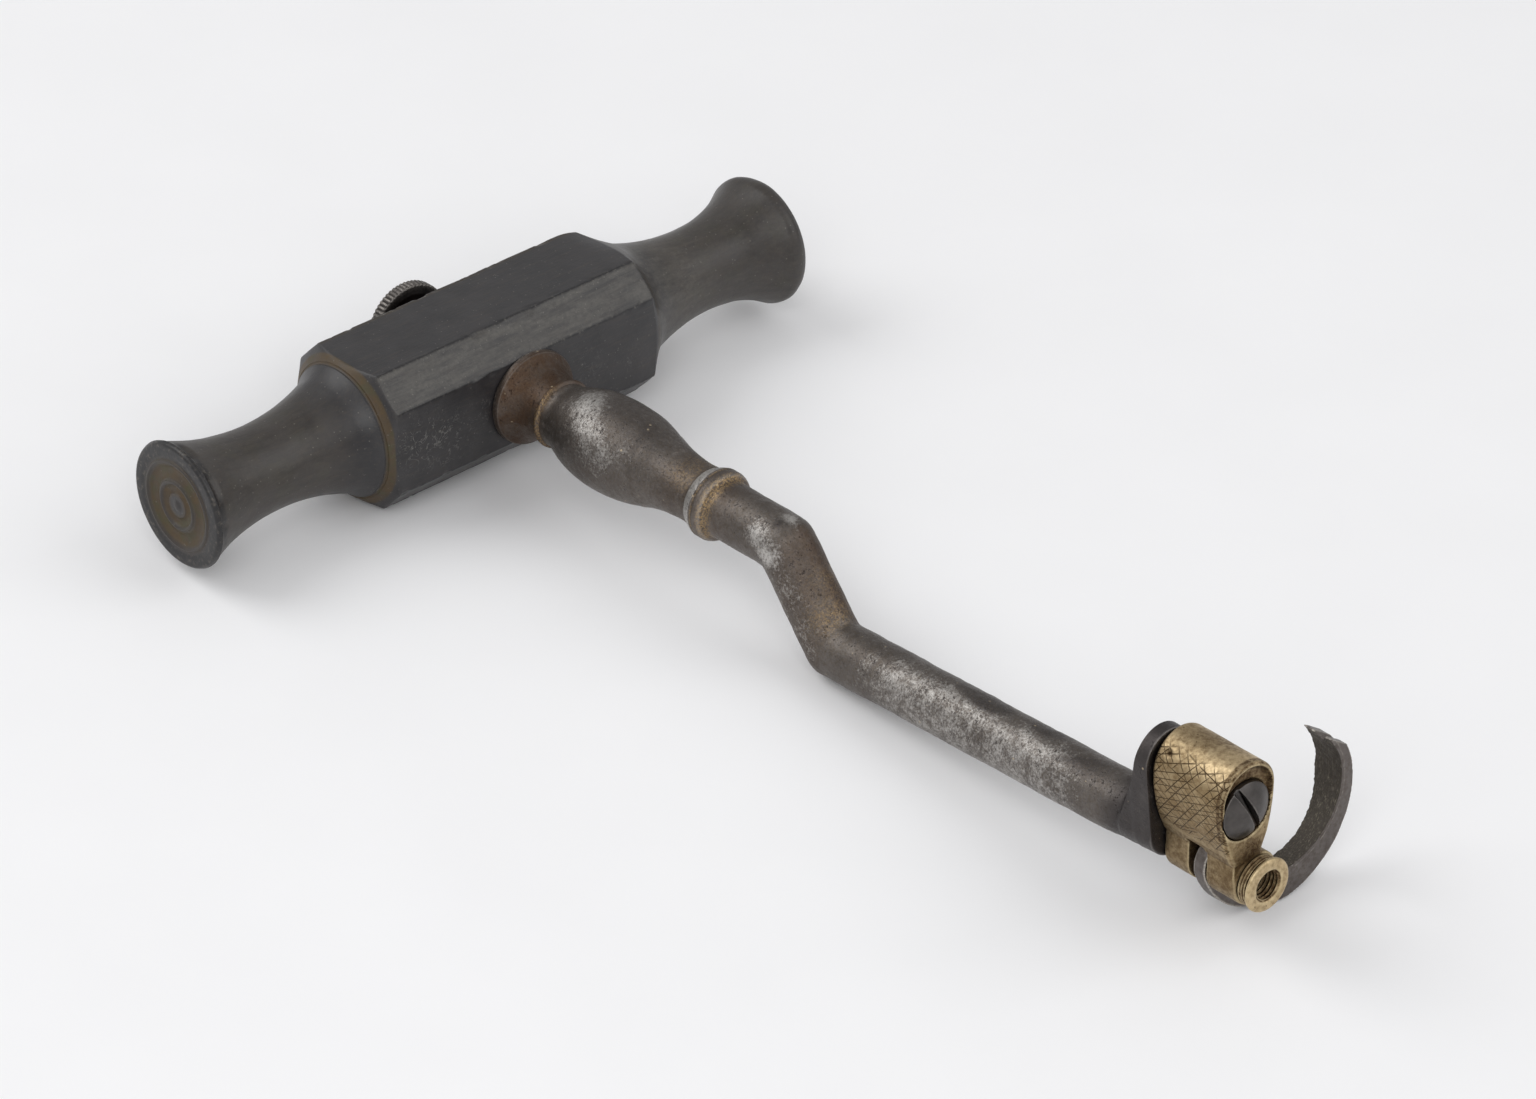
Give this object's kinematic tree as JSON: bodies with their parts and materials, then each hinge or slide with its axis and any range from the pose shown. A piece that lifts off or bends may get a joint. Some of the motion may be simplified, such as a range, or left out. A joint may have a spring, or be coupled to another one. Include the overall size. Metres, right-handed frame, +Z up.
{
  "type": "dental key",
  "caption": "Dental key with a turned cross handle, a cranked shank, a turning brass bolster and a swinging hooked claw.",
  "frame": {"origin": "where the axis of the cross handle meets the axis of the shank, in the middle of the handle's block", "axes": "+X along the handle, -Y forward along the shank to the claw, +Z up with the key lying as in the picture, the crank hanging below the handle"},
  "size_m": [0.1098, 0.1726, 0.0326],
  "materials": {
    "ebony": "polished, worn",
    "forged_steel": "patinated, worn bright on the edges",
    "claw_steel": "dark, hardened",
    "screw_steel": "dark",
    "brass": "tarnished, scratched"
  },
  "bodies": {
    "shank": {"shank": "forged_steel"},
    "handle": {"handle": "ebony"},
    "thumb_screw": {"thumb_screw": "screw_steel"},
    "bolster": {"bolster": "brass", "claw_bush": "brass"},
    "bolster_screw": {"bolster_screw": "screw_steel"},
    "claw": {"claw": "claw_steel"},
    "claw_pivot": {"claw_pivot_screw": "screw_steel"}
  },
  "joints": [
    {"name": "handle_draw", "type": "slide", "parent": "shank", "child": "handle", "axis": [0, 1, 0], "range_m": [0, 0.024]},
    {"name": "thumb_screw_turn", "type": "hinge", "parent": "handle", "child": "thumb_screw", "pos_m": [0, 0.0134, 0], "axis": [0, 1, 0], "continuous": true},
    {"name": "bolster_turn", "type": "hinge", "parent": "shank", "child": "bolster", "pos_m": [0, -0.1463, 0], "axis": [0, -1, 0], "continuous": true},
    {"name": "bolster_screw_turn", "type": "hinge", "parent": "shank", "child": "bolster_screw", "pos_m": [0, -0.1463, 0], "axis": [0, -1, 0], "continuous": true},
    {"name": "claw_swing", "type": "hinge", "parent": "bolster", "child": "claw", "pos_m": [0.00195, -0.14635, -0.0115], "axis": [0, -1, 0], "range_deg": [-100, 80]},
    {"name": "claw_pivot_turn", "type": "hinge", "parent": "bolster", "child": "claw_pivot", "pos_m": [0.00195, -0.14635, -0.0115], "axis": [0, -1, 0], "continuous": true}
  ]
}
